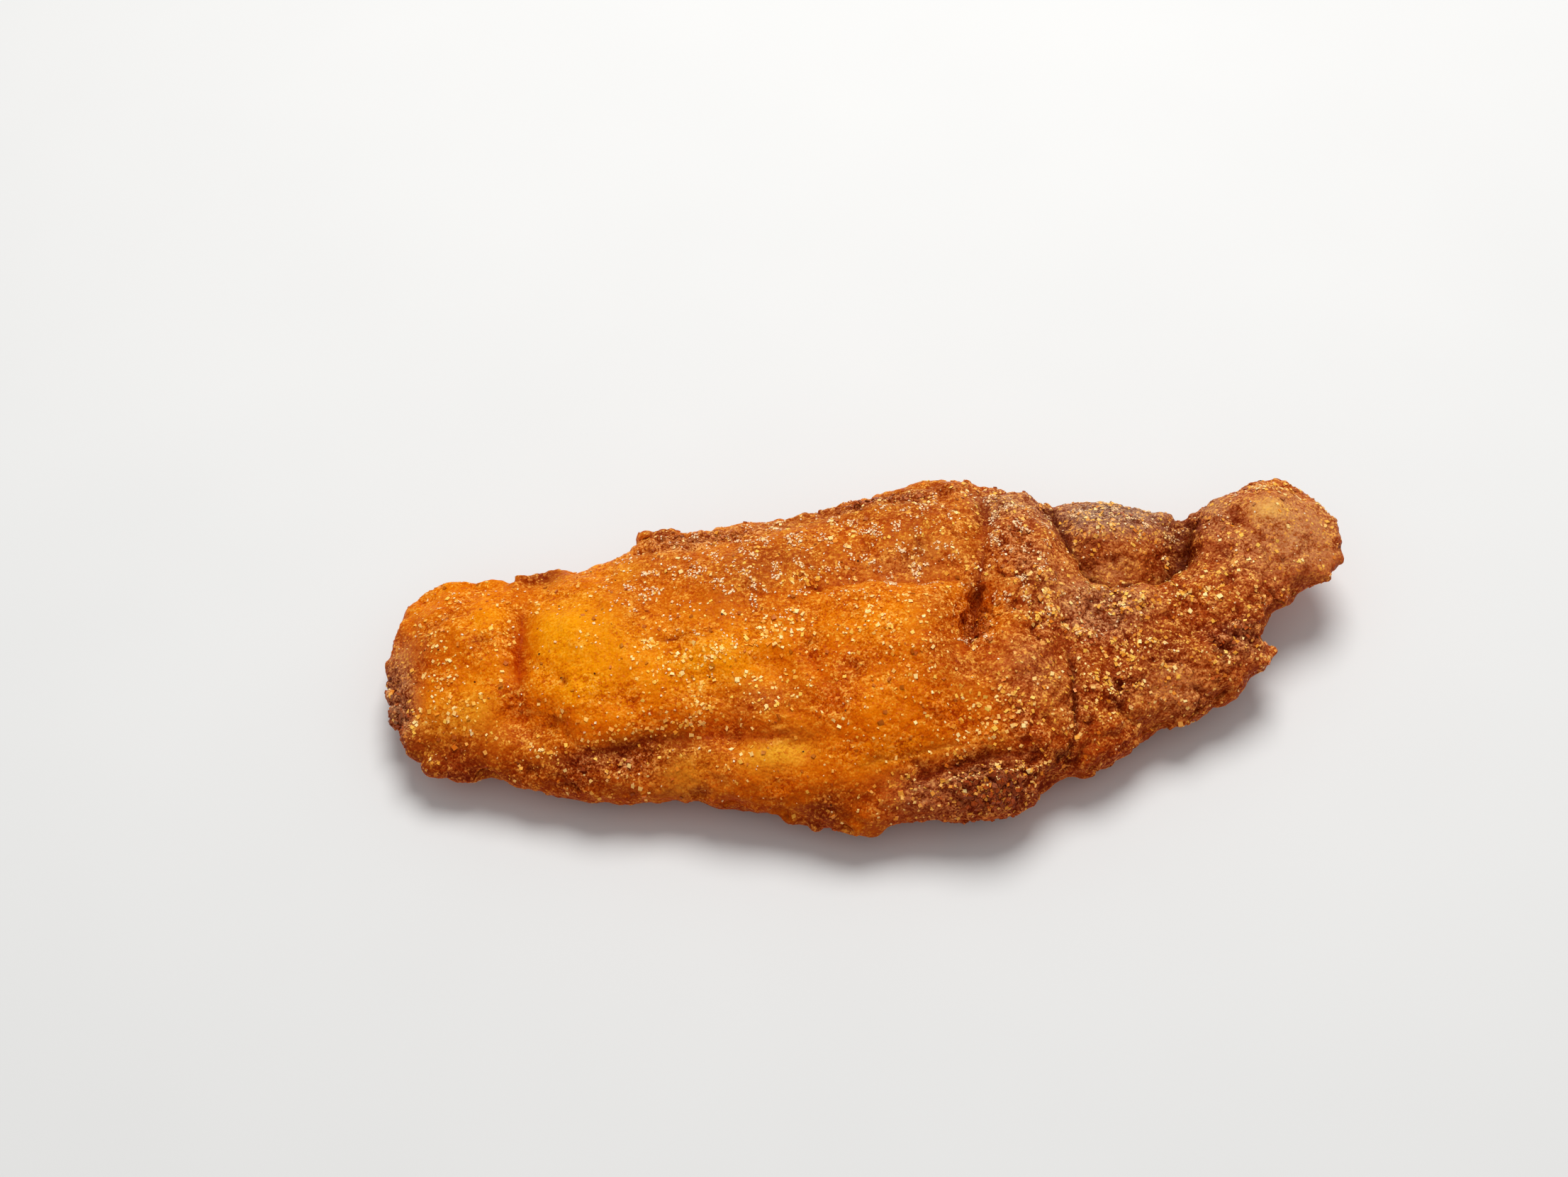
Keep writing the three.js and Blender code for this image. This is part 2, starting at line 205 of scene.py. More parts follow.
# Creases in the top: how deep, how wide to the left and to the right, the colour of the bottom and how much
# of it, and the line from one end to the other. The darker bottom is painted shade in the folds, grooves and
# cracks, and scorch in the scars.
Crease = namedtuple("Crease", "depth left right tint stain line")
CREASES = {
    "head_groove": Crease(1.4, 1.5, 1.5, EMBER, 0.8, [(-70, -5), (-69, 4), (-68.4, 10), (-68, 16)]),
    "belly_fold": Crease(0.4, 1.2, 2.8, CHESTNUT, 0.65, [
        (-66, -17.6), (-60, -19.2), (-55, -19.2), (-50, -18.6), (-45, -18.2), (-40, -18.4), (-36, -19)
    ]),
    "belly_line": Crease(0.4, 0.9, 1.6, RUSSET, 0.6, [
        (-37, -19), (-30, -19.7), (-24, -21), (-16.5, -22.5)
    ]),
    "loin_step": Crease(0.9, 2, 0.8, RUSSET, 0.6, [(-13, 8.5), (-6, 10), (3, 9), (11, 7.5), (18, 6)]),
    "cleft": Crease(0.9, 0.8, 1.6, BROWN, 0.5, [(26.5, 33), (26.2, 26), (25, 17), (22.5, 9), (21, 3)]),
    "cleft_top": Crease(1.1, 0.9, 1.2, CHESTNUT, 0.6, [(26.6, 29), (26, 25), (25.4, 21)]),
    "cleft_pit": Crease(1.6, 0.7, 0.9, BROWN, 0.8, [
        (23.4, 13), (22.4, 8), (20.8, 3), (19.4, -2), (18.4, -6), (16.6, -10)
    ]),
    "shoulder": Crease(1.8, 1.3, 0.9, UMBER, 0.95, [(40.5, 31), (40.5, 24), (41, 18), (43, 12)]),
    "pocket": Crease(2.4, 2, 0.8, UMBER, 1, [
        (43, 12), (44.6, 6.4), (49, 3.6), (55, 4.4), (61, 8.6), (65, 12.8), (66.9, 18), (67.3, 23)
    ]),
    "tail_crease": Crease(1.3, 0.6, 0.45, UMBER, 0.85, [
        (36, -11), (36, -14.6), (35.7, -17.6), (35.2, -22.5), (34.5, -26.9), (32.3, -29.7), (28.3, -33.8)
    ]),
    "underfold": Crease(1.4, 0.9, 2.4, CHESTNUT, 0.85, [
        (1.6, -33.7), (6.8, -32.2), (11.4, -31.7), (16.6, -30.9), (22.8, -30.9), (28.7, -30.6)
    ]),
    "mid_valley": Crease(0.6, 1.4, 1.4, ORANGE, 0.7, [(-15, -5), (-12, -10), (-10.5, -16), (-10, -21)]),
    "front_groove": Crease(0.5, 0.9, 0.7, CHESTNUT, 0.5, [
        (-8, -30), (-3, -29.6), (2, -29.2), (9, -28.4), (14, -28)
    ]),
    "roll_wrinkle": Crease(1, 0.9, 0.9, UMBER, 0.8, [(10, -34.6), (15, -33.4), (19, -33)]),
    "red_line": Crease(0.2, 0.35, 0.35, CHESTNUT, 0.6, [(-79, 7.4), (-76, 7.3), (-73.5, 7.2)]),
    "loin_scar": Crease(0.5, 0.5, 0.5, SCORCH, 0.9, [(-12, 9.4), (-10, 9.2), (-8, 8.8)]),
    "loin_pit": Crease(0.9, 0.8, 0.8, SCORCH, 0.9, [(-9.8, 9), (-9.4, 8)]),
    "yellow_scar": Crease(0.3, 0.6, 0.7, SCORCH, 0.9, [(-60.8, -3.9), (-60.4, -6)]),
    "gold_scar": Crease(0.4, 0.5, 0.5, ORANGE, 0.9, [(-48, -11), (-47.2, -13.6)]),
    "row_scar": Crease(0.35, 0.4, 0.4, SCORCH, 0.8, [(-42.4, 0.6), (-40.4, 0.5), (-38, 0.4), (-35.6, 0.8)]),
    "high_scar": Crease(0.4, 0.5, 0.6, ORANGE, 0.9, [(1.2, 16.2), (3, 16.8)]),
    "high_crack": Crease(0.8, 0.8, 0.8, CHESTNUT, 0.7, [(9.6, 20), (11, 16.9), (11.1, 13)]),
    "edge_crack": Crease(0.8, 0.8, 0.8, CHESTNUT, 0.7, [(9.6, 34), (12, 30), (14.5, 28)]),
    "shoulder_crack": Crease(0.8, 0.8, 0.9, CHESTNUT, 0.6, [
        (31.6, 1.6), (31.1, -1.4), (29.9, -5), (29.5, -8)
    ]),
    "side_crack": Crease(0.5, 0.6, 0.6, BROWN, 0.6, [(23.5, -23), (24.4, -24.5), (23.6, -25.9)]),
    "stem_wrinkle": Crease(0.9, 0.8, 0.8, UMBER, 0.7, [(43.5, -16.6), (44.4, -19.6), (44.2, -22.6)]),
    "stem_pit": Crease(1, 1.1, 1.1, UMBER, 0.8, [(36, -25), (38.4, -25.6)]),
    "stem_crack": Crease(0.8, 0.6, 0.7, UMBER, 0.7, [(63, -8.6), (65.6, -12.6), (64.9, -17.6)]),
    "stem_gully": Crease(0.7, 1.1, 0.8, BROWN, 0.6, [(58, 0), (61, -3.4), (65, -4.5), (69, -3.6)]),
    "tip_fold": Crease(0.7, 1, 1.4, BROWN, 0.4, [(74, 19), (76, 13), (79, 9), (84, 7)]),
    "tip_crack": Crease(0.6, 0.7, 0.7, CHESTNUT, 0.6, [(83, -0.4), (85.4, 1.6), (87, 4.4)]),
    "spur_crease": Crease(1.1, 1, 1, UMBER, 0.8, [(66, -9), (70, -10.5), (74, -10)]),
}
# How far from its ends a crease runs out, how far it wanders, and how much more strongly the stain and
# painted shade at its bottom are laid.
CREASE_TAPER = 3.0
CREASE_WANDER = 0.7
STAIN_AND_SHADE_GAIN = 1.2

# Patches of colour in the crust: where, how far each way, the colour, how much, and degrees turned if any. A
# few, marked below, are painted shade and painted light.
PATCHES = [
    # The loin, from the head end to the middle
    ((-60, 8), (8, 8), YELLOW, 0.95),
    ((-54, 2), (11, 9), YELLOW, 0.55),
    ((-57, -7), (6, 3.5), YELLOW, 0.7),
    ((-33, -6), (11, 5.5), YELLOW, 0.7, 8),
    ((-47, 22), (4, 5), YELLOW, 0.45),
    ((-75, 13), (7, 4), YELLOW, 0.4),
    ((-81, -7), (7, 4.5), BUTTER, 0.5),
    ((-5, -3), (10, 5), GOLD, 0.5),
    ((3, -2), (8, 4), YELLOW, 0.15),
    ((-82, 4), (8, 9), AMBER, 0.5),
    ((-69.2, 5), (2.2, 9.5), ORANGE, 0.9, -4),
    ((-69.5, -8), (2.4, 6), ORANGE, 0.5),
    ((-22, 14), (20, 8), AMBER, 0.85, 8),
    ((-24, 16), (24, 9), TAWNY, 0.7, 8),
    # Darker in the fold of the belly: painted shade
    ((-54, -19), (14, 1.8), CHESTNUT, 0.7),
    ((-38, 14), (10, 7), AMBER, 0.7),
    ((-40, 20), (8, 6), TAWNY, 0.25),
    ((-8, -12), (4, 10), ORANGE, 0.55),
    ((8, -15), (9, 7), AMBER, 0.7),
    ((14, -12), (5, 8), RUSSET, 0.65),
    ((12, -1), (6, 5), RUSSET, 0.4),
    ((-24, -15), (9, 4.5), RUSSET, 0.7),
    ((-68, -13.5), (7, 3), RUSSET, 0.6, -15),
    # Lighter on the slope above the fold, which is turned away from the lamp: painted light
    ((-51, -14), (12, 2.4), GOLD, 0.8),
    ((-88, 9), (5, 5), RUSSET, 0.6),
    ((-83, 18), (6, 6), AMBER, 0.6),
    ((-94, 0), (4, 12), BROWN, 0.7),
    ((-94, 0), (3.5, 10), ASHEN, 1),
    ((-90, -12.5), (7, 5.5), CHESTNUT, 0.75, -30),
    ((-82, -18.5), (9, 4.5), CHESTNUT, 0.85),
    ((-84, -15), (8, 4), BROWN, 0.7),
    # The belly band in front of its fold
    ((-58, -21), (16, 4), BROWN, 0.6, -8),
    ((-42, -24), (14, 4), RUSSET, 0.45),
    ((-38, -25), (8, 3.6), SANDY, 0.85),
    # Lighter where the belly band is turned away from the lamp: painted light
    ((-38, -25), (6, 2.8), BUTTER, 0.75),
    ((-30, -25), (10, 4), AMBER, 0.6),
    ((-21, -25.5), (6, 3.6), BUTTER, 1, 4),
    ((-17, -29), (8, 4), AMBER, 0.6),
    ((3, -26), (12, 4.5), AMBER, 0.8, 6),
    ((-3, -33), (10, 3), RUSSET, 0.3),
    ((0, -28.5), (9, 3.4), GOLD, 0.9),
    ((0, -28.5), (7, 2.4), YELLOW, 0.5),
    ((-15, -36), (8, 3.5), CHESTNUT, 0.85),
    ((-4, -38), (3.5, 3), AMBER, 0.8),
    # The lower roll
    ((17, -37), (13, 6), PLUM, 0.8, 8),
    ((4, -37), (9, 4), RUSSET, 0.7),
    ((5, -36), (6, 3.5), FAWN, 0.65),
    ((26, -27), (6, 5), RUSSET, 0.6),
    # The back edge
    ((-32, 28), (15, 4), SANDY, 0.8, 8),
    ((-14, 29), (11, 4), SANDY, 0.75),
    ((2, 31), (16, 5), TAWNY, 0.8),
    ((14, 34), (14, 4), BROWN, 0.6),
    ((10, 23), (11, 7), TAWNY, 0.8),
    ((-39, 32), (4, 3), BROWN, 0.9),
    ((-64, 26), (6, 4), BROWN, 0.8),
    ((10, 12), (11, 5), SANDY, 0.7),
    ((4, 21), (12, 4), ORANGE, 0.4),
    ((27, 20), (5, 7), BROWN, 0.5),
    ((30, 27), (6, 5), ASHEN, 0.7),
    # The tail
    ((33, 6), (7, 8), SANDY, 0.4),
    ((33, 6), (6, 6), ASHEN, 0.2),
    ((28, -17), (8, 8), RUSSET, 0.4),
    ((28, -16), (7, 6), ASHEN, 0.3),
    ((44, -2), (9, 6), ASHEN, 0.75),
    ((45, -3), (7, 4), FAWN, 0.85),
    ((52, 24), (14, 8), FROSTED, 1),
    ((52, 12), (9, 4), SANDY, 0.9),
    ((61, 13), (5, 5), RUSSET, 0.6),
    ((49, 11), (5, 3), FAWN, 0.4),
    # Darker down the pocket by the lobe: painted shade
    ((64.5, 15), (2.6, 7), UMBER, 0.65),
    ((46, -17), (9, 5), CHESTNUT, 0.4),
    ((60, -12), (12, 6), RUSSET, 0.7, 10),
    ((54, -12), (9, 6), BROWN, 0.8),
    ((56, -21), (12, 4.5), SANDY, 1, 20),
    ((71, -12), (5, 5), ASHEN, 0.4),
    ((55, -20), (6, 3.5), FAWN, 0.55),
    ((32.4, -22), (3, 5), SANDY, 0.8),
    ((68, 3), (8, 5), RUSSET, 0.5),
    ((72, 22), (4, 7), ASHEN, 0.7),
    ((84, 11), (13, 12), FAWN, 0.85),
    ((80, 16), (8, 6), RUSSET, 0.2),
    ((81, 15), (3.2, 2.4), CREAM, 1),
    ((40, -27), (8, 4), RUSSET, 0.7),
]
# How much more strongly the patches are laid.
PATCH_GAIN = 1.15

# Where the crust is gritty and lumpy: place, reach, how much.
GRITTY = [
    ((-94, -2), (4, 12), 0.9),
    ((-84, -19), (7, 4), 0.8),
    ((-54, -21), (18, 4), 0.7),
    ((-30, 28), (20, 4), 0.9),
    ((5, 32), (20, 4), 0.9),
    ((9, 13), (12, 4), 0.35),
    ((19, -4), (4, 8), 1),
    ((30, 12), (8, 18), 0.8),
    ((52, 22), (13, 9), 0.6),
    ((44, -5), (14, 9), 0.85),
    ((44, -20), (10, 7), 0.8),
    ((68, -11), (9, 8), 0.9),
    ((64, 4), (9, 6), 0.6),
    ((16, -36), (16, 7), 1),
    ((80, 8), (12, 12), 0.25),
]

# Where the crust is smoother than elsewhere: place, reach, how much.
SMOOTH = [
    ((-59, 6), (9, 9), 0.9),
    ((-52, -3), (10, 5), 0.5),
    ((-72, 14), (5, 5), 0.4),
    ((-21, -25.5), (6, 4), 0.7),
    ((81, 15), (4, 3), 1),
    ((87, 12), (9, 10), 0.65),
]

# Where the crust is even, without lumps, gritty or not: place, reach, how much.
EVEN = [
    ((53, 20), (13, 9), 0.75),
    ((86, 12), (12, 13), 0.85),
    ((20, -37), (9, 5), 0.5),
    ((52, -10), (16, 10), 0.35),
    ((32, 5), (8, 16), 0.3),
    ((-54, -22), (15, 3), 0.65),
]

# Where white grit has drifted together: place, reach, how much.
DRIFTS = [
    ((-20, 23), (18, 7), 0.45),
    ((-38, 16), (10, 8), 0.7),
    ((-16, 12), (14, 7), 0.5),
    ((-28, 2), (12, 6), 0.15),
    ((4, 22), (12, 8), 0.6),
    ((9, 7.4), (9, 1.6), 1.6),
    ((10, 12), (10, 4), 0.9),
    ((17.4, -9.6), (2.2, 2), 2.6),
    ((31, 18), (6, 10), 0.9),
    ((31, 2), (6, 5), 0.9),
    ((27, 25), (4, 5), 1.2),
    ((53, 24), (13, 6), 1.1),
    ((64, 17), (4, 8), 0.4),
    ((46, -4), (10, 5), 0.3),
]

# Where coarse meal has clustered: place, reach, how much.
CLUSTERS = [
    ((-43.5, -0.3), (2.2, 1.4), 3),
    ((-38, -6), (5, 2.5), 1.5),
    ((-30, -4.4), (3, 1.8), 3),
    ((-20, -0.7), (4.5, 2.4), 2.5),
    ((-19, -9.4), (2.5, 3.5), 1),
    ((-24, -16), (3, 1.5), 0.5),
    ((-16, -13.7), (2, 1.6), 1),
    ((-42, -16.6), (8, 1.6), 2),
    ((-46, -23), (12, 4), 0.4),
    ((-35, -14.4), (4, 2.4), 1.5),
    ((-54, -17), (3, 1.4), 1.5),
    ((-65, -18), (5, 1.6), 1.5),
    ((-56, 3), (2, 1.2), 1.5),
    ((-85, -3), (6, 9), 0.8),
    ((-11.5, 11), (3, 3), 2),
    ((-3, -2), (8, 4), 0.7),
    ((5, -12), (8, 6), 0.6),
    ((38, -8), (2.4, 1.6), 6),
    ((45.5, -12), (3, 1.8), 3),
    ((51, -10.5), (2.4, 1.4), 3),
    ((48, -2.6), (5, 2.4), 3.5),
    ((33, -3), (4, 5), 2),
    ((65.5, -14.6), (5, 2), 2),
    ((43, -22), (8, 3), 1.2),
    ((62, -1), (6, 3), 1.6),
    ((15, -35), (13, 5), 1.8),
    ((20, -24), (8, 4), 1.6),
    ((86, 22), (5, 3), 2),
    ((52, 22), (12, 7), 0.4),
]

# ---- Grains ----

# Each kind: how many, the least and the most length, the least and the most height for each millimetre of
# length, and the share of the height that is under the crust.
Kind = namedtuple("Kind", "count length flatness sink")
GOLD_MEAL = Kind(2900, (0.45, 1.25), (0.2, 0.42), 0.5)
PALE_MEAL = Kind(1700, (0.45, 1.25), (0.2, 0.45), 0.45)
WHITE_GRIT = Kind(2700, (0.32, 0.7), (0.5, 0.8), 0.4)
TOASTED_MEAL = Kind(1500, (0.5, 1.3), (0.5, 0.8), 0.5)

# Burnt specks that stand out from the rest, and how many more there are.
BURNT = [(-78, -0.5), (-87.5, 8.5), (-65, 2.5), (-54.5, -5), (-60.5, 14)]
BURNT += [(-54, 24), (-33, -9), (-29, 4), (-17, -25)]
MORE_BURNT = 12

# ---- Fine mottling of the crust ----

# How large its spots are, and those of its film of oil, and how high its bumps are.
SAND_SIZE = 0.33
GRAIN_SIZE = 0.6
MEAL_SIZE = 1.05
FLECK_SIZE = 1.7
BLOTCH_SIZE = 4.5
OIL_SIZE = 1.1
SAND_BUMP = 0.1
GRAIN_BUMP = 0.25
# The same for the clouding of the scattered grains.
CLOUD_SIZE = 0.35
CLOUD_BUMP = 0.08

# ---- Light and view ----

# Where the lamp stands and how wide it is, in metres, and its power in watts.
LAMP = (0.1, 0.42, 0.85)
LAMP_SIZE = 0.55
LAMP_POWER = 7.7
LAMP_COLOUR = (1.0, 0.97, 0.93)
SKY_COLOUR = (1.0, 0.985, 0.96, 1)
SKY_STRENGTH = 0.46
FLOOR_RADIUS = 3000
# The share of red, green and blue taken out of the crust's colour where it is turned away from the lamp:
# painted warm shade, standing in for the light that comes off other crust there.
PAINTED_SHADE_LOSS = (0.0, 0.28, 0.4)

# The view, in degrees and millimetres.
VIEW_AZIMUTH = -8
VIEW_ELEVATION = 55
VIEW_DISTANCE = 430
VIEW_TARGET = (0, 0, 10)
LENS = 50
SENSOR = 36
# The picture's width, and how far right of its middle and below it the target lies, in pixels.
PICTURE_WIDTH = 2212
TARGET_RIGHT_OF_MIDDLE = 127.4
TARGET_BELOW_MIDDLE = 89.6


def linear(colour):
    """A screen colour as the renderer's linear values."""
    values = np.array(colour) / 255
    return np.where(values <= 0.04045, values / 12.92, ((values + 0.055) / 1.055) ** 2.4)


def ramp(low, high, values):
    """0 below `low`, 1 above `high`, and a smooth run between them."""
    share = np.clip((values - low) / (high - low), 0, 1)
    return share * share * (3 - 2 * share)


# ---- Fields over the surface: each takes points in millimetres and gives one value for each ----


def noise_at(points, spacing, seed):
    """Smooth noise from about -1 to 1, with lumps about `spacing` apart."""
    shift = Vector((3.1, 7.7, 5.3)) * seed
    return np.array([noise.noise(Vector(p) + shift) for p in (points / spacing).tolist()])


def pebbles_at(points, spacing, seed):
    """0 between pebbles and up to 1 on top of them, with pebbles about `spacing` apart."""
    shift = Vector((2.3, 4.9, 8.1)) * seed
    nearest = [noise.voronoi(Vector(p) + shift)[0][0] for p in (points / spacing).tolist()]
    return np.clip(1 - (np.array(nearest) / 0.62) ** 2, 0, 1)


def turned_away(normals):
    """0 where the surface faces the lamp, up to 1 where it is turned away."""
    return ramp(0.85, 0.35, normals @ np.array(Vector(LAMP).normalized()))


def patch_at(points, at, reach, turn=0):
    """1 in the middle of an oval patch, falling off smoothly to 0 outside it."""
    cos, sin = math.cos(math.radians(turn)), math.sin(math.radians(turn))
    x, y = points[:, 0] - at[0], points[:, 1] - at[1]
    along, across = x * cos + y * sin, y * cos - x * sin
    return np.exp(-((along / reach[0]) ** 2) - (across / reach[1]) ** 2)


def smooth_line(corners, steps=6):
    """Points along a smooth curve through the corners, a Catmull-Rom spline."""
    p = np.array(corners, float)
    p = np.vstack([2 * p[0] - p[1], p, 2 * p[-1] - p[-2]])
    t = np.linspace(0, 1, steps, endpoint=False)[:, None]
    runs = []
    for a, b, c, d in zip(p, p[1:], p[2:], p[3:]):
        square = (2 * a - 5 * b + 4 * c - d) * t**2
        cube = (3 * b - a - 3 * c + d) * t**3
        runs.append(0.5 * (2 * b + (c - a) * t + square + cube))
    return np.vstack([*runs, p[-2]])


def crease_at(points, crease):
    """1 at the bottom of a crease, falling off to 0 at its sides and towards its ends."""
    line = smooth_line(crease.line)
    runs = np.diff(line, axis=0)
    lengths = np.linalg.norm(runs, axis=1)
    starts = np.concatenate([[0], np.cumsum(lengths)])
    best = np.full(len(points), np.inf)
    side = np.zeros(len(points))
    travelled = np.zeros(len(points))
    for start, run, length, before in zip(line, runs, lengths, starts):
        offset = points[:, :2] - start
        share = np.clip(offset @ run / length**2, 0, 1)
        away = np.linalg.norm(offset - share[:, None] * run, axis=1)
        nearer = away < best
        best = np.where(nearer, away, best)
        side = np.where(nearer, run[0] * offset[:, 1] - run[1] * offset[:, 0], side)
        travelled = np.where(nearer, before + share * length, travelled)
    width = np.where(side > 0, crease.left, crease.right)
    taper = np.minimum(travelled, starts[-1] - travelled) / min(CREASE_TAPER, starts[-1] / 2)
    return np.exp(-best / width) * np.clip(0.3 + 0.7 * taper, 0, 1)


# ---- The crust ----


def new_object(name, data):
    """An object in the scene, at the origin."""
    made = bpy.data.objects.new(name, data)
    bpy.context.scene.collection.objects.link(made)
    return made


def vertex_arrays(mesh):
    """A mesh's vertex places in millimetres and its vertex normals."""
    co = np.empty(len(mesh.vertices) * 3, np.float32)
    mesh.vertices.foreach_get("co", co)
    normals = np.empty(len(mesh.vertices) * 3, np.float32)
    mesh.vertex_normals.foreach_get("vector", normals)
    return co.reshape(-1, 3) / MM, normals.reshape(-1, 3)


def move_vertices(mesh, points):
    """Puts a mesh's vertices at these points, given in millimetres."""
    mesh.vertices.foreach_set("co", (points * MM).astype(np.float32).ravel())
    mesh.update()


def with_modifiers(shape):
    """An object's mesh as its modifiers make it; the object loses them."""
    made = bpy.data.meshes.new_from_object(shape.evaluated_get(bpy.context.evaluated_depsgraph_get()))
    shape.modifiers.clear()
    return made


def even_skin(shape, voxel, smoothing):
    """Rebuilds an object's mesh, and whatever overlaps in it, as one closed skin of even squares."""
    remesh = shape.modifiers.new("even skin", "REMESH")
    remesh.mode = "VOXEL"
    remesh.voxel_size = voxel * MM
    made = with_modifiers(shape)
    bm = bmesh.new()
    bm.from_mesh(made)
    for _ in range(smoothing):
        bmesh.ops.smooth_vert(
            bm, verts=bm.verts, factor=0.5, use_axis_x=True, use_axis_y=True, use_axis_z=True
        )
    bm.to_mesh(made)
    bm.free()
    shape.data = made


def most_at(points, spots):
    """The largest amount that any of the spots has at each point."""
    return np.max([much * patch_at(points, at, reach) for at, reach, much in spots], axis=0)


def grit_at(points):
    """How gritty the crust is, from 0 where it is smooth to 1."""
    tailward = 0.25 * ramp(5, 35, points[:, 0])
    amount = np.maximum(most_at(points, GRITTY), 0.22 + tailward)
    amount *= 1 - most_at(points, SMOOTH)
    return np.clip(amount + 0.3 * noise_at(points, 6, 3), 0, 1)


def seats(mesh, count, density, random):
    """Random places on a mesh, the closer together the higher the density that its vertices have.

    Gives the places in millimetres, their normals, and for each its three vertices and their shares in it.
    """
    points, normals = vertex_arrays(mesh)
    mesh.calc_loop_triangles()
    corners = np.empty(len(mesh.loop_triangles) * 3, np.int32)
    mesh.loop_triangles.foreach_get("vertices", corners)
    corners = corners.reshape(-1, 3)
    a, b, c = (points[corners[:, i]] for i in range(3))
    weight = np.linalg.norm(np.cross(b - a, c - a), axis=1) * density[corners].mean(axis=1)
    chosen = corners[random.choice(len(corners), count, p=weight / weight.sum())]
    shares = random.dirichlet((1, 1, 1), count)
    place = (points[chosen] * shares[..., None]).sum(axis=1)
    normal = (normals[chosen] * shares[..., None]).sum(axis=1)
    normal /= np.linalg.norm(normal, axis=1)[:, None]
    return place, normal, chosen, shares


def turned_to(normal, spin, tilt):
    """A turn that lays a flat thing on a surface: its Z along the normal, spun and a little tilted."""
    upright = Vector(normal).to_track_quat("Z", "Y").to_matrix().to_4x4()
    return upright @ Matrix.Rotation(spin, 4, "Z") @ Matrix.Rotation(tilt, 4, "X")


def join_copies(mesh, body, matrices):
    """Adds a copy of a body, given as its corners and faces, to a mesh for each matrix in millimetres."""
    corners, faces = body
    placed = [corners @ np.array(m)[:3, :3].T + np.array(m)[:3, 3] for m in matrices]
    joined = bpy.data.meshes.new("copies")
    numbers = faces[None] + np.arange(len(matrices))[:, None, None] * len(corners)
    joined.from_pydata((np.vstack(placed) * MM).tolist(), [], numbers.reshape(-1, 3).tolist())
    bm = bmesh.new()
    bm.from_mesh(mesh)
    bm.from_mesh(joined)
    bm.to_mesh(mesh)
    bm.free()
    bpy.data.meshes.remove(joined)


def corners_and_faces(bm):
    """The corners and the three-cornered faces of a bmesh, which is freed."""
    corners = np.array([v.co[:] for v in bm.verts])
    faces = np.array([[v.index for v in f.verts] for f in bm.faces])
    bm.free()
    return corners, faces


def ball(subdivisions):
    """A ball of half size 1, as its corners and faces."""
    bm = bmesh.new()
    bmesh.ops.create_icosphere(bm, subdivisions=subdivisions, radius=1)
    return corners_and_faces(bm)


def chip():
    """A block of half size about 1, as its corners and faces."""
    bm = bmesh.new()
    bmesh.ops.create_cube(bm, size=1.5)
    bmesh.ops.triangulate(bm, faces=bm.faces)
    return corners_and_faces(bm)


def batter_clumps(shape, random):
    """Adds the large lumps of the rim to the skin, and small sunk ones along the rim and on its grit."""
    points, normals = vertex_arrays(shape.data)
    rim = ramp(0.75, 0.25, np.abs(normals[:, 2])) * ramp(1, 4, points[:, 2])
    gritty = ramp(0.4, 0.9, grit_at(points)) * (normals[:, 2] > 0)
    density = (rim + 0.8 * gritty) * ramp(0.5, 3, points[:, 2])
    places, outward, _, _ = seats(shape.data, CLUMPS, density, random)
    matrices = [
        Matrix.Translation(at) @ Matrix.Rotation(math.radians(turn), 4, "Z") @ Matrix.Diagonal((*size, 1))
        for at, size, turn in LUMPS
    ]
    even = most_at(places, EVEN)
    for i, (place, normal) in enumerate(zip(places, outward)):
        radius = random.uniform(*CLUMP_RADIUS)
        flat = random.uniform(0.55, 0.85)
        size = Matrix.Diagonal((radius, radius * random.uniform(0.7, 1), radius * flat, 1))
        depth = radius * flat * random.uniform(0.4, 0.8)
        lay = turned_to(normal, random.uniform(0, math.tau), random.uniform(-0.3, 0.3))
        if even[i] < EVEN_ENOUGH:
            matrices.append(Matrix.Translation(Vector(place - normal * depth)) @ lay @ size)
    join_copies(shape.data, ball(2), matrices)


def lighten_underneath(shape):
    """Takes faces out of the nearly flat underside, but not near the rim, where the crust is thin."""
    points, normals = vertex_arrays(shape.data)
    columns = np.floor(points[:, :2]).astype(int)
    columns -= columns.min(axis=0)
    highest = np.zeros(columns.max(axis=0) + 1)
    np.maximum.at(highest, tuple(columns.T), points[:, 2])
    thickness = highest[tuple(columns.T)] - points[:, 2]
    low = shape.vertex_groups.new(name="low")
    under = np.flatnonzero((normals[:, 2] < -0.3) & (thickness > THICK) | (points[:, 2] < 0.2))
    low.add(under.tolist(), 1.0, "REPLACE")
    thin = shape.modifiers.new("thin out", "DECIMATE")
    thin.vertex_group = "low"
    thin.ratio = 1 - (1 - KEPT_UNDERNEATH) * len(under) / len(points)
    made = with_modifiers(shape)
    shape.vertex_groups.clear()
    shape.data = made


def press_dents(points, normals):
    """Moves points in where the rim is dented, and out where it swells."""
    for at, reach, depth in DENTS:
        away = np.linalg.norm(points - np.array(at), axis=1) / reach
        points = points - normals * (depth * np.clip(1 - away**2, 0, 1) ** 2)[:, None]
    return points


def neighbour_means(mesh, values, rounds):
    """Each vertex's values, evened out with its neighbours' as often as `rounds` says."""
    edges = np.empty(len(mesh.edges) * 2, np.int32)
    mesh.edges.foreach_get("vertices", edges)
    a, b = edges.reshape(-1, 2).T
    count = np.bincount(a, minlength=len(values)) + np.bincount(b, minlength=len(values))
    values = values.reshape(len(values), -1)
    for _ in range(rounds):
        near = []
        for column in values.T:
            near.append(np.bincount(a, column[b], len(values)) + np.bincount(b, column[a], len(values)))
        values = (values + np.stack(near, axis=1) / count[:, None]) / 2
    return values


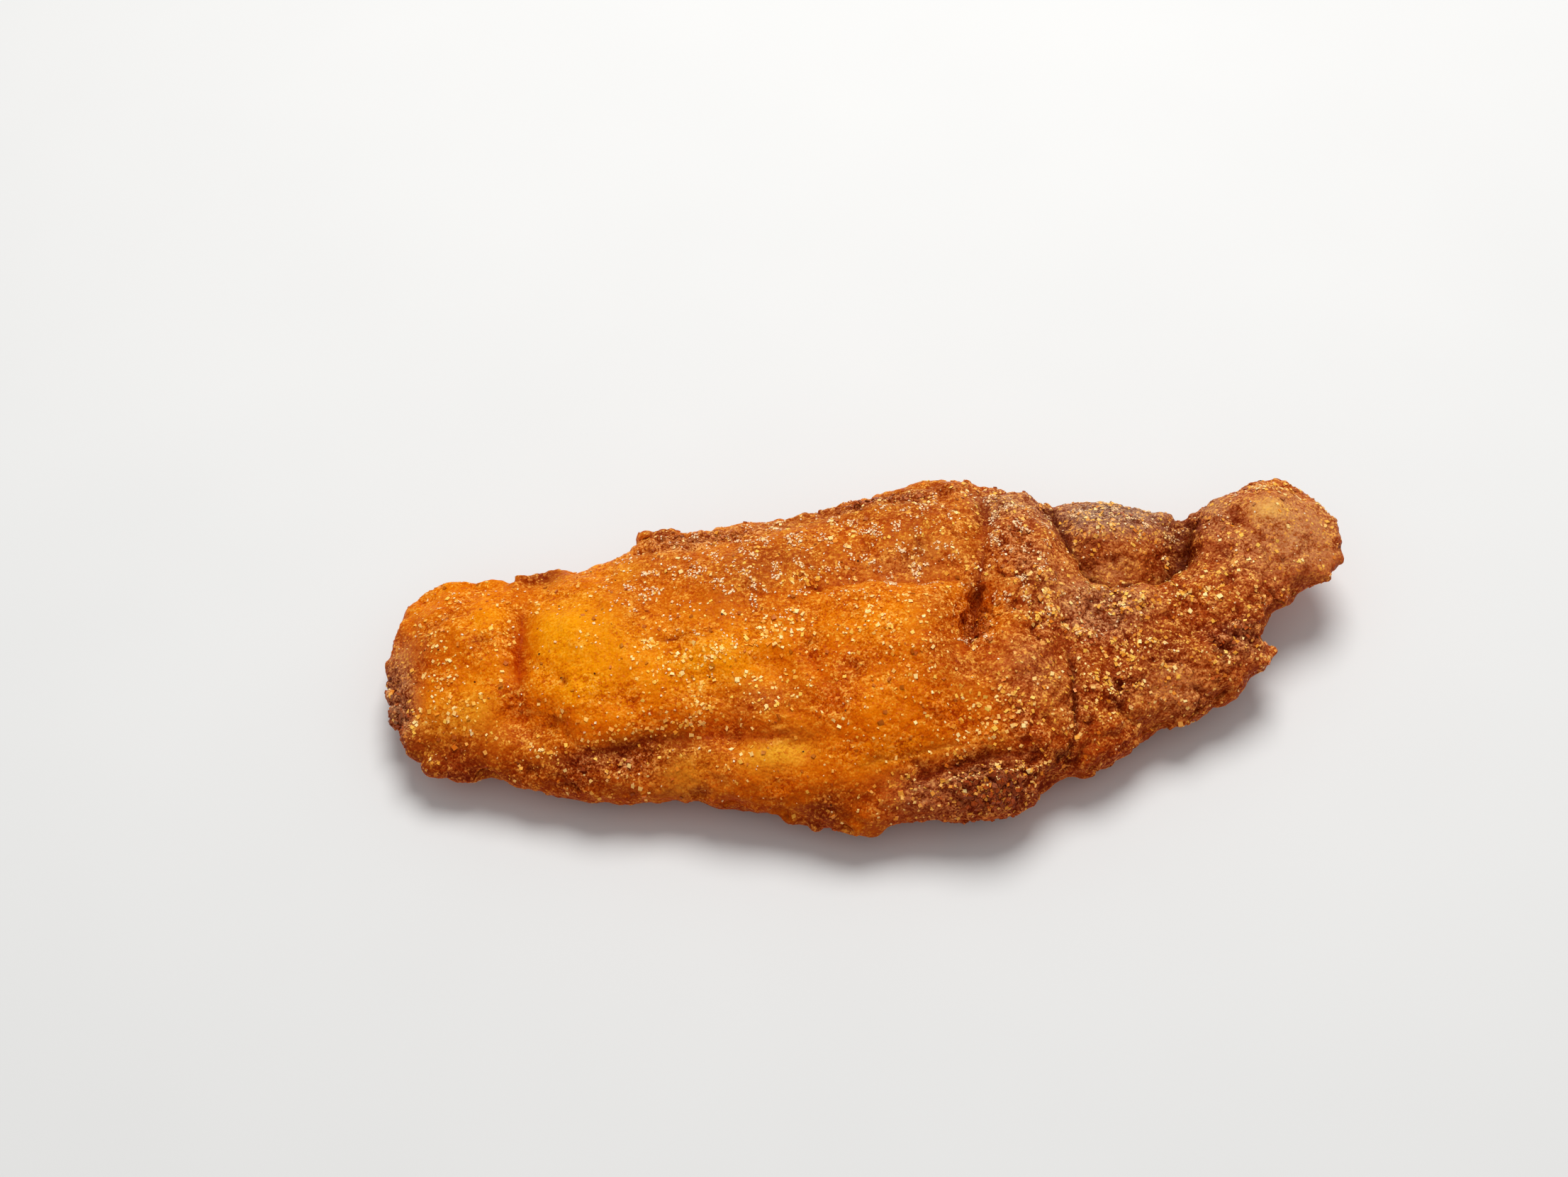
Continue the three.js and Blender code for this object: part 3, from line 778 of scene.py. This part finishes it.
def relief_at(points, grit):
    """How far the crust stands out or in, in millimetres, from its lumps, pebbles and pits.

    What is gritty is rougher. It is sunk a little, so that its tops stay level with what is smooth.
    """
    tailward = ramp(-5, 30, points[:, 0])
    swell = SWELL_HEIGHT * noise_at(points, SWELL_SPACING, 1)
    mounded = np.maximum(tailward, 0.7 * grit)
    mounds = MOUND_HEIGHT * mounded * (pebbles_at(points, MOUND_SPACING, 9) ** 1.5 - 0.3)
    lumps = (LUMP_HEIGHT + 0.25 * grit) * noise_at(points, LUMP_SPACING, 2)
    clusters = CLUSTER_HEIGHT * grit * pebbles_at(points, CLUSTER_SPACING, 4) ** 1.3
    pebbles = (PEBBLE_HEIGHT + 0.4 * grit) * pebbles_at(points, PEBBLE_SPACING, 5)
    pits = -PIT_DEPTH * ramp(0.25, 0.6, noise_at(points, PIT_SPACING, 6)) * (0.15 + 0.85 * grit)
    lumpy = 1 - most_at(points, EVEN)
    return lumpy * (swell + mounds + lumps + clusters) + pebbles + pits - (0.45 + 0.25 * lumpy) * grit


def cracks_at(points, grit):
    """1 in the cracks between the lumps of crust, and 0 away from them. They break off here and there."""
    bend = np.stack([noise_at(points, 4, seed) for seed in (7, 8, 9)], axis=1)
    bent = points / CRACK_SPACING + 0.3 * bend
    nearest = np.array([noise.voronoi(Vector(p))[0][:2] for p in bent.tolist()])
    line = np.exp(-(nearest[:, 1] - nearest[:, 0]) / CRACK_WIDTH)
    broken = ramp(-0.1, 0.3, noise_at(points, 7, 10))
    return line * broken * ramp(0.2, 0.5, grit)


def merged_copy(node, name):
    """A copy of a CAD solid whose faces are joined at their corners."""
    shape = new_object(name, node.data.copy())
    bm = bmesh.new()
    bm.from_mesh(shape.data)
    bmesh.ops.remove_doubles(bm, verts=bm.verts, dist=0.01 * MM)
    bm.to_mesh(shape.data)
    bm.free()
    return shape


def build_crust(node):
    """The crust as one closed skin over the form of the CAD solid."""
    random = np.random.default_rng(SEED)
    shape = merged_copy(node, "crust")
    even_skin(shape, COARSE_SKIN, COARSE_SMOOTHING)
    batter_clumps(shape, random)
    even_skin(shape, FINE_SKIN, FINE_SMOOTHING)
    lighten_underneath(shape)

    points, normals = vertex_arrays(shape.data)
    top = ramp(-0.1, 0.35, normals[:, 2])
    wander = CREASE_WANDER * np.stack([noise_at(points, 3, 21), noise_at(points, 3, 22)], axis=1)
    warped = np.column_stack([points[:, :2] + wander, points[:, 2]])
    creased = {name: crease_at(warped, crease) * top for name, crease in CREASES.items()}
    grit = grit_at(points)
    cracks = cracks_at(points, grit) * top
    relief = relief_at(points, grit) - CRACK_DEPTH * cracks
    depth = np.max([crease.depth * creased[name] for name, crease in CREASES.items()], axis=0)
    depth *= 1 + 0.5 * noise_at(points, 2.6, 23)
    moved = press_dents(points, normals) + normals * (relief * ramp(0.05, 1.5, points[:, 2]))[:, None]
    moved[:, 2] -= depth
    moved[:, 2] = np.maximum(moved[:, 2], 0)
    move_vertices(shape.data, moved)

    points, normals = vertex_arrays(shape.data)
    hollow = height_over_surroundings(shape.data, points, normals)
    set_values(shape.data, "grit", grit)
    set_values(shape.data, "hollow", hollow)
    # How strongly the bottom of each crease is darkened: painted shade in the folds and cracks, scorch in
    # the scars
    crease_stain_and_shade = np.max([crease.stain * creased[name] for name, crease in CREASES.items()], axis=0)
    set_values(shape.data, "crease_stain_and_shade", crease_stain_and_shade)
    set_values(shape.data, "away", turned_away(normals))
    set_values(shape.data, "ground", ground_at(warped, normals, creased, cracks))
    shape.data.polygons.foreach_set("use_smooth", np.ones(len(shape.data.polygons), bool))
    shape.data.materials.clear()
    shape.data.materials.append(crust_material())
    return shape


def set_values(mesh, name, values):
    """Stores one number or one colour for each vertex."""
    if values.ndim == 1:
        mesh.attributes.new(name, "FLOAT", "POINT").data.foreach_set("value", values.astype(np.float32))
    else:
        rgba = np.column_stack([values, np.ones(len(values))]).astype(np.float32)
        mesh.attributes.new(name, "FLOAT_COLOR", "POINT").data.foreach_set("color", rgba.ravel())


def height_over_surroundings(mesh, points, normals):
    """From -1 in the hollows to 1 on the heights, small ones and middling ones together."""
    total = np.zeros(len(points))
    for rounds, deepest, share in HOLLOWS:
        height = ((points - neighbour_means(mesh, points, rounds)) * normals).sum(axis=1)
        total += np.clip(height / deepest, -1, 1) * share
    return total


def ground_at(points, normals, creased, cracks):
    """The crust's colour before its fine mottling, painted shade included: linear red, green and blue for
    each point.
    """
    x, _, z = points.T
    up = normals[:, 2]
    ground = np.tile(linear(GOLD), (len(points), 1))

    def lay(tint, amount):
        ground[:] += (linear(tint) - ground) * np.clip(amount, 0, 1)[:, None]

    # Golden over the loin, and browner towards the tail
    lay(AMBER, 0.5 + 0.9 * noise_at(points, 9, 31))
    lay(RUSSET, 0.85 * ramp(10, 40, x + 6 * noise_at(points, 12, 32)))
    lay(BROWN, 0.5 * ramp(0.1, 0.5, noise_at(points, 6, 33)) * ramp(20, 45, x))
    top = ramp(-0.3, 0.1, up)
    for at, reach, tint, much, *turn in PATCHES:
        lay(tint, much * PATCH_GAIN * patch_at(points, at, reach, *turn) * top)
    # Browner on the flanks and low down, and patchy underneath
    lay(BROWN, 0.5 * ramp(0.65, 0.2, up))
    lay(CHESTNUT, 0.75 * ramp(8, 3, z))
    under = ramp(-0.1, -0.5, up)
    lay(RUSSET, 0.9 * under)
    lay(AMBER, (0.4 + 0.8 * noise_at(points, 12, 34)) * under)
    # Darker in the cracks and in the creases: painted shade, and scorch in the scars
    lay(CHESTNUT, 0.8 * cracks)
    for name, crease in CREASES.items():
        lay(crease.tint, crease.stain * STAIN_AND_SHADE_GAIN * creased[name])
    # Painted warm shade where the crust is turned away from the lamp
    return ground * (1 - turned_away(normals)[:, None] * np.array(PAINTED_SHADE_LOSS))


# ---- The grains on the crust ----


def scatter(name, crust, kind, density, random, burnt=()):
    """Angular grains of one kind, stuck to the crust, as one mesh.

    Each keeps the crust's colour where it sits, and has a shade of its own. Its `crown` is 1 on the outer
    side and 0 on the inner one. The grains at the burnt vertices are small and black.
    """
    places, outward, chosen, shares = seats(crust.data, kind.count, density, random)
    corners, faces = chip()
    ground = read_colours(crust.data, "ground")
    tint = (ground[chosen] * shares[..., None]).sum(axis=1)
    shade = random.uniform(0, 1, kind.count)
    least, most = kind.length
    length = least + (most - least) * random.uniform(0, 1, kind.count) ** 1.7
    if len(burnt):
        points, normals = vertex_arrays(crust.data)
        first = slice(len(burnt))
        places[first] = points[burnt]
        outward[first] = normals[burnt]
        tint[first] = linear(BLACK)
        shade[first] = 0
        length[first] = least
    made = np.empty((kind.count, len(corners), 3))
    crown = corners[:, 2] > 0
    for i, (place, normal) in enumerate(zip(places, outward)):
        axes = length[i] / 2 * np.array([1, random.uniform(0.55, 1), random.uniform(*kind.flatness)])
        cut = corners * random.uniform(0.55, 1.2, (len(corners), 1)) * axes
        turn = np.array(turned_to(normal, random.uniform(0, math.tau), random.uniform(-0.5, 0.5)).to_3x3())
        made[i] = cut @ turn.T + place + normal * axes[2] * (1 - 2 * kind.sink)
    mesh = bpy.data.meshes.new(name)
    all_faces = (faces[None] + np.arange(kind.count)[:, None, None] * len(corners)).reshape(-1, 3)
    mesh.from_pydata((made.reshape(-1, 3) * MM).tolist(), [], all_faces.tolist())
    mesh.update()
    set_values(mesh, "shade", np.repeat(shade, len(corners)))
    set_values(mesh, "crown", np.tile(crown, kind.count))
    set_values(mesh, "ground", np.repeat(tint, len(corners), axis=0))
    set_values(mesh, "away", np.repeat(turned_away(outward), len(corners)))
    return new_object(name, mesh)


def read_colours(mesh, name):
    """The colour that each vertex has."""
    values = np.empty(len(mesh.vertices) * 4, np.float32)
    mesh.attributes[name].data.foreach_get("color", values)
    return values.reshape(-1, 4)[:, :3]


def read_values(mesh, name):
    """The number that each vertex has."""
    values = np.empty(len(mesh.vertices), np.float32)
    mesh.attributes[name].data.foreach_get("value", values)
    return values


def build_grains(crust):
    """All the kinds of grain that stick to the crust."""
    random = np.random.default_rng(SEED + 1)
    points, normals = vertex_arrays(crust.data)
    x, _, z = points.T
    up = normals[:, 2]
    grit = read_values(crust.data, "grit")
    hollow = read_values(crust.data, "hollow")

    # None right at the floor, in the hollows or in the creases
    clear = ramp(0.3, 1.0, z) * ramp(-0.5, 0.15, hollow)
    clear *= 1 - ramp(0.25, 0.7, read_values(crust.data, "crease_stain_and_shade"))

    # Where the meal is crowded, has drifted together or lies loose
    crowded = ramp(-0.25, 0.25, noise_at(points, 9, 43))
    drift = ramp(-0.1, 0.5, noise_at(points, 5, 41))
    loose = ramp(-0.1, 0.5, noise_at(points, 2.6, 42))
    upward = 0.3 + 0.7 * ramp(-0.2, 0.6, up)
    drifted = most_at(points, DRIFTS) * ramp(0.0, 0.5, up)
    clustered = np.sum([much * patch_at(points, at, reach) for at, reach, much in CLUSTERS], axis=0)
    clustered *= ramp(0.0, 0.5, up)
    tailward = ramp(0, 40, x)
    # Fewer gold and pale grains where the crust is smooth, and where it is turned away from the lamp so that
    # it shows browner there, which is painted shade
    rough = (1 - most_at(points, SMOOTH)) * (1 - 0.4 * turned_away(normals))

    gold = (0.05 + 0.25 * drift + 0.2 * tailward * crowded + 0.8 * clustered) * clear * rough
    pale = (0.03 + 0.4 * drift**2 + 0.15 * grit * crowded + 0.6 * clustered) * clear * upward * rough
    white = (0.002 + 0.004 * loose + 1.2 * drifted * loose**2) * clear * upward
    bare = 0.9 * patch_at(points, (10, 13), (12, 5))
    toasted = (ramp(0.6, 1.0, grit) * (0.15 + 0.85 * crowded) * (1 - bare) + 0.01) * clear

    top = np.flatnonzero((up > 0.4) & (z > 6))
    named = [top[np.argmin(np.linalg.norm(points[top, :2] - np.array(at), axis=1))] for at in BURNT]
    burnt = np.concatenate([named, random.choice(top, MORE_BURNT)])
    pieces = [
        scatter("gold_meal", crust, GOLD_MEAL, gold, random),
        scatter("pale_meal", crust, PALE_MEAL, pale, random),
        scatter("white_grit", crust, WHITE_GRIT, white, random),
        scatter("toasted_meal", crust, TOASTED_MEAL, toasted, random, burnt),
    ]
    makers = [gold_meal_material, pale_meal_material, white_grit_material, toasted_meal_material]
    for piece, maker in zip(pieces, makers):
        piece.data.materials.append(maker())
    return pieces


# ---- Materials ----


class Nodes:
    """Adds nodes to a material or a node group, and links them."""

    def __init__(self, tree):
        self.tree = tree

    def add(self, kind, inputs=None, **settings):
        """A new node with these settings, and with these inputs fed."""
        node = self.tree.nodes.new(kind)
        for name, value in settings.items():
            setattr(node, name, value)
        for name, value in (inputs or {}).items():
            self.feed(node.inputs[name], value)
        return node

    def feed(self, socket, value):
        """Gives a socket a value, or links it to another node's socket."""
        if isinstance(value, bpy.types.NodeSocket):
            self.tree.links.new(value, socket)
        else:
            socket.default_value = value

    def kept(self, name, output="Fac"):
        """What the mesh keeps for each vertex: a value, or a colour from the output "Color"."""
        node = self.add("ShaderNodeAttribute", attribute_name=name, attribute_type="GEOMETRY")
        return node.outputs[output]

    def place(self):
        """Where each point of the surface lies in the object."""
        return self.add("ShaderNodeTexCoord").outputs["Object"]

    def noise(self, vector, spacing, detail=2.0, roughness=0.5):
        """Clouds from 0 to 1, about `spacing` apart."""
        values = {"Vector": vector, "Scale": 1 / (spacing * MM), "Detail": detail, "Roughness": roughness}
        return self.add("ShaderNodeTexNoise", values).outputs[0]

    def cells(self, vector, spacing):
        """Grains packed together: a random `shade` for each, and the `reach` from its middle outwards."""
        node = self.add("ShaderNodeTexVoronoi", {"Vector": vector, "Scale": 1 / (spacing * MM)})
        shade = self.add("ShaderNodeSeparateColor", {"Color": node.outputs["Color"]}).outputs[0]
        return SimpleNamespace(shade=shade, reach=node.outputs["Distance"])

    def centred(self, value, weight):
        """A value from 0 to 1 as one from -weight/2 to weight/2."""
        return self.math("MULTIPLY", self.math("SUBTRACT", value, 0.5), weight)

    def math(self, operation, a, b=0.0, clamp=False):
        """The result of one sum."""
        node = self.add("ShaderNodeMath", {0: a, 1: b}, operation=operation, use_clamp=clamp)
        return node.outputs[0]

    def run(self, value, low, high, to_low=0.0, to_high=1.0):
        """A value that runs from `to_low` to `to_high` while another runs from `low` to `high`."""
        values = {"Value": value, "From Min": low, "From Max": high, "To Min": to_low, "To Max": to_high}
        return self.add("ShaderNodeMapRange", values).outputs["Result"]

    def mix(self, factor, a, b, blend="MIX"):
        """One colour laid over another."""
        node = self.add("ShaderNodeMix", {0: factor, 6: a, 7: b}, data_type="RGBA", blend_type=blend)
        return node.outputs[2]


def rgba(colour):
    """A screen colour as a socket takes it."""
    return (*linear(colour), 1.0)


def new_material(name, **shader_values):
    """A material, its nodes and its Principled shader, which has these constant values."""
    material = bpy.data.materials.new(name)
    material.use_nodes = True
    material.node_tree.nodes.clear()
    nodes = Nodes(material.node_tree)
    values = {name.replace("_", " "): value for name, value in shader_values.items()}
    shader = nodes.add("ShaderNodeBsdfPrincipled", values)
    nodes.add("ShaderNodeOutputMaterial", {"Surface": shader.outputs[0]})
    return material, nodes, shader


def crust_material():
    """Fried crust, mottled from sand grain to thumbnail size over the colour of its ground.

    It is darker and redder in its hollows and paler on its heights, painted shade and painted light, and
    packed with meal where it is gritty. Its pale flecks are warmer where it is turned away from the lamp, a
    painted warm shade.
    """
    material, nodes, shader = new_material(
        "crust",
        Specular_IOR_Level=0.02,
        Subsurface_Weight=0.2,
        Subsurface_Radius=(1.0, 0.4, 0.15),
        Subsurface_Scale=0.8 * MM,
    )
    place = nodes.place()
    ground = nodes.kept("ground", "Color")
    grit = nodes.kept("grit")
    hollow = nodes.kept("hollow")
    crease_stain_and_shade = nodes.kept("crease_stain_and_shade")
    away = nodes.kept("away")
    sand = nodes.cells(place, SAND_SIZE)
    grain = nodes.cells(place, GRAIN_SIZE)
    meal = nodes.cells(place, MEAL_SIZE)

    # Below 0 where the crust is dark, and above 0 where it is light: painted shade in the hollows and
    # between the packed grains, painted light on the heights, and random mottling
    parts = [
        nodes.math("MULTIPLY", hollow, nodes.run(grit, 0.2, 0.9, 0.5, 1.1)),
        nodes.centred(nodes.noise(place, BLOTCH_SIZE, 2), 2.6),
        nodes.centred(nodes.noise(place, FLECK_SIZE, 3, 0.6), 3.6),
        nodes.math("MULTIPLY", nodes.centred(sand.shade, 1.0), nodes.run(grit, 0.2, 0.7, 3.2, 4.6)),
        nodes.centred(grain.shade, 2.2),
        nodes.math("MULTIPLY", nodes.centred(meal.shade, 1.6), grit),
        nodes.math("MULTIPLY", nodes.run(grain.reach, 0.2, 0.6, 0.5, -0.9), grit),
    ]
    tone = parts[0]
    for part in parts[1:]:
        tone = nodes.math("ADD", tone, part)
    tone = nodes.math("MULTIPLY", tone, nodes.run(grit, 0.03, 0.3, 0.6, 1.15))

    # The colours of the dark and the light parts, smooth and gritty
    gritty = nodes.run(grit, 0.1, 0.8)
    shadow = nodes.mix(gritty, (0.74, 0.44, 0.15, 1), (0.42, 0.16, 0.05, 1))
    deep = nodes.mix(1.0, ground, shadow, "MULTIPLY")
    tan = nodes.mix(gritty, (0.95, 0.475, 0.045, 1), (0.82, 0.385, 0.145, 1))
    # Where the crust is turned away from the lamp its pale flecks are warmer: painted warm shade
    warm_tan = nodes.mix(1.0, tan, (0.9, 0.6, 0.42, 1), "MULTIPLY")
    pale = nodes.mix(0.85, ground, nodes.mix(away, tan, warm_tan))
    colour = nodes.mix(nodes.run(tone, 0.1, -2.4), ground, deep)
    light = nodes.math("POWER", nodes.run(tone, 0.3, 2.7), 1.3)
    light = nodes.math("MULTIPLY", light, nodes.run(crease_stain_and_shade, 0.2, 0.7, 1.0, 0.3))
    colour = nodes.mix(light, colour, pale)
    nodes.feed(shader.inputs["Base Color"], colour)

    rough = nodes.run(nodes.noise(place, OIL_SIZE, 2), 0.3, 0.7, 0.25, 0.45)
    nodes.feed(shader.inputs["Roughness"], rough)

    coarse = nodes.add(
        "ShaderNodeBump",
        {"Height": grain.reach, "Strength": nodes.run(grit, 0, 1, 0.45, 0.9), "Distance": GRAIN_BUMP * MM},
        invert=True,
    )
    fine = nodes.add(
        "ShaderNodeBump",
        {"Height": sand.shade, "Strength": 0.5, "Distance": SAND_BUMP * MM, "Normal": coarse.outputs[0]},
    )
    nodes.feed(shader.inputs["Normal"], fine.outputs[0])
    return material


def grain_tone():
    """Colours and surface shared by all the grains, as a node group.

    A grain is anything from `Dark` to `Light`, clouded a little. It has the crust's colour inwards, darkened
    and reddened there as painted contact shade, and outwards as far as it is `Fried`. It is warmer where it
    is turned away from the lamp, a painted warm shade, and where the crust is brown.
    """
    name = "grain_tone"
    if name in bpy.data.node_groups:
        return bpy.data.node_groups[name]
    group = bpy.data.node_groups.new(name, "ShaderNodeTree")
    for socket in ("Dark", "Light"):
        group.interface.new_socket(socket, in_out="INPUT", socket_type="NodeSocketColor")
    group.interface.new_socket("Fried", in_out="INPUT", socket_type="NodeSocketFloat")
    group.interface.new_socket("Color", in_out="OUTPUT", socket_type="NodeSocketColor")
    group.interface.new_socket("Normal", in_out="OUTPUT", socket_type="NodeSocketVector")
    nodes = Nodes(group)
    given = nodes.add("NodeGroupInput")
    place = nodes.place()
    shade = nodes.kept("shade")
    ground = nodes.kept("ground", "Color")
    cloud = nodes.noise(place, CLOUD_SIZE, 2)
    tone = nodes.math("ADD", shade, nodes.centred(cloud, 0.8), clamp=True)
    own = nodes.mix(tone, given.outputs["Dark"], given.outputs["Light"])
    fried = nodes.math("MULTIPLY", given.outputs["Fried"], nodes.run(shade, 1, 0, 0.4, 1.3), clamp=True)
    # The inner side of a grain: the crust's colour, darkened and reddened as painted contact shade
    shaded_seat = nodes.mix(1.0, ground, (0.9, 0.62, 0.4, 1), "MULTIPLY")
    # Warmer where it is turned away from the lamp, a painted warm shade, and where the crust is brown
    red = nodes.add("ShaderNodeSeparateColor", {"Color": ground}).outputs[0]
    away = nodes.math("MULTIPLY", nodes.kept("away"), 0.7)
    warmth = nodes.math("ADD", away, nodes.run(red, 0.15, 0.6, 0.4, 0.0), clamp=True)
    own = nodes.mix(warmth, own, nodes.mix(1.0, own, (0.95, 0.6, 0.3, 1), "MULTIPLY"))
    crown = nodes.run(nodes.kept("crown"), 0.25, 0.75)
    colour = nodes.mix(crown, shaded_seat, nodes.mix(fried, own, ground))
    bump = nodes.add("ShaderNodeBump", {"Height": cloud, "Strength": 0.4, "Distance": CLOUD_BUMP * MM})
    nodes.add("NodeGroupOutput", {"Color": colour, "Normal": bump.outputs[0]})
    return group


def grain_material(name, dark, light, fried, **shader_values):
    """Grains from a dark to a light screen colour, and how far they have browned with the crust."""
    material, nodes, shader = new_material(name, Specular_Tint=(1.0, 0.8, 0.5, 1), **shader_values)
    values = {"Dark": rgba(dark), "Light": rgba(light), "Fried": fried}
    tone = nodes.add("ShaderNodeGroup", values, node_tree=grain_tone())
    nodes.feed(shader.inputs["Base Color"], tone.outputs["Color"])
    nodes.feed(shader.inputs["Normal"], tone.outputs["Normal"])
    return material


def gold_meal_material():
    """Coarse golden cornmeal with a film of oil."""
    return grain_material("gold_meal", HONEY, STRAW, 0.2, Roughness=0.25, Specular_IOR_Level=0.3)


def pale_meal_material():
    """Coarse pale cornmeal."""
    return grain_material("pale_meal", CORN, IVORY, 0.05, Roughness=0.25, Specular_IOR_Level=0.3)


def white_grit_material():
    """Dry white grit."""
    return grain_material("white_grit", FLOUR, SALT, 0.05, Roughness=0.3, Specular_IOR_Level=0.3)


def toasted_meal_material():
    """Toasted meal, browner than the crust that it sits in."""
    return grain_material("toasted_meal", COCOA, TOAST, 0.5, Roughness=0.35, Specular_IOR_Level=0.15)


# ---- Stage ----


def floor_material():
    """A pale matte floor, very slightly uneven."""
    material, nodes, shader = new_material("floor", Specular_IOR_Level=0.2, Roughness=0.7)
    place = nodes.place()
    soft = nodes.noise(place, 60, 2)
    colour = nodes.mix(soft, (0.72, 0.735, 0.75, 1), (0.75, 0.765, 0.78, 1))
    nodes.feed(shader.inputs["Base Color"], colour)
    return material


def build_stage():
    """The floor that the fillet lies on."""
    bm = bmesh.new()
    bmesh.ops.create_circle(bm, cap_ends=True, segments=64, radius=FLOOR_RADIUS * MM)
    mesh = bpy.data.meshes.new("floor")
    bm.to_mesh(mesh)
    bm.free()
    mesh.materials.append(floor_material())
    floor = new_object("floor", mesh)


def build_light():
    """Soft light from all round, and one wide lamp above and behind."""
    world = bpy.data.worlds.new("world")
    world.use_nodes = True
    background = world.node_tree.nodes["Background"]
    background.inputs["Color"].default_value = SKY_COLOUR
    background.inputs["Strength"].default_value = SKY_STRENGTH
    bpy.context.scene.world = world

    key = bpy.data.lights.new("key", "AREA")
    key.shape = "DISK"
    key.size = LAMP_SIZE
    key.energy = LAMP_POWER
    key.color = LAMP_COLOUR
    lamp = new_object("key", key)
    lamp.location = LAMP
    lamp.rotation_euler = (-lamp.location).to_track_quat("-Z", "Y").to_euler()


def build_camera():
    """The camera stands off from the fillet's middle, and is aimed a little left of it and above it."""
    azimuth, elevation = math.radians(VIEW_AZIMUTH), math.radians(VIEW_ELEVATION)
    turn = Matrix.Rotation(azimuth, 3, "Z") @ Matrix.Rotation(-elevation, 3, "X")
    back = turn @ Vector((0, -1, 0))
    focal_length = LENS / SENSOR * PICTURE_WIDTH
    left = Matrix.Rotation(math.atan(TARGET_RIGHT_OF_MIDDLE / focal_length), 4, "Y")
    up = Matrix.Rotation(math.atan(TARGET_BELOW_MIDDLE / focal_length), 4, "X")
    data = bpy.data.cameras.new("camera")
    data.lens = LENS
    data.sensor_width = SENSOR
    data.clip_start = 0.01
    data.clip_end = 20
    camera = new_object("camera", data)
    at_middle = (-back).to_track_quat("-Z", "Y").to_matrix().to_4x4()
    stand = Matrix.Translation((Vector(VIEW_TARGET) + back * VIEW_DISTANCE) * MM)
    camera.matrix_world = stand @ at_middle @ left @ up
    bpy.context.scene.camera = camera


def main():
    """Builds the fillet, its floor, light and camera."""
    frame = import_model()
    crust = build_crust(frame["nodes"]["fillet"])
    grains = build_grains(crust)
    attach(crust, "root")
    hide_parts("fillet")
    for piece in grains:
        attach(piece, "root")
    build_stage()
    build_light()
    build_camera()
    bpy.context.scene.view_settings.view_transform = "Standard"
    bpy.context.view_layer.update()


main()
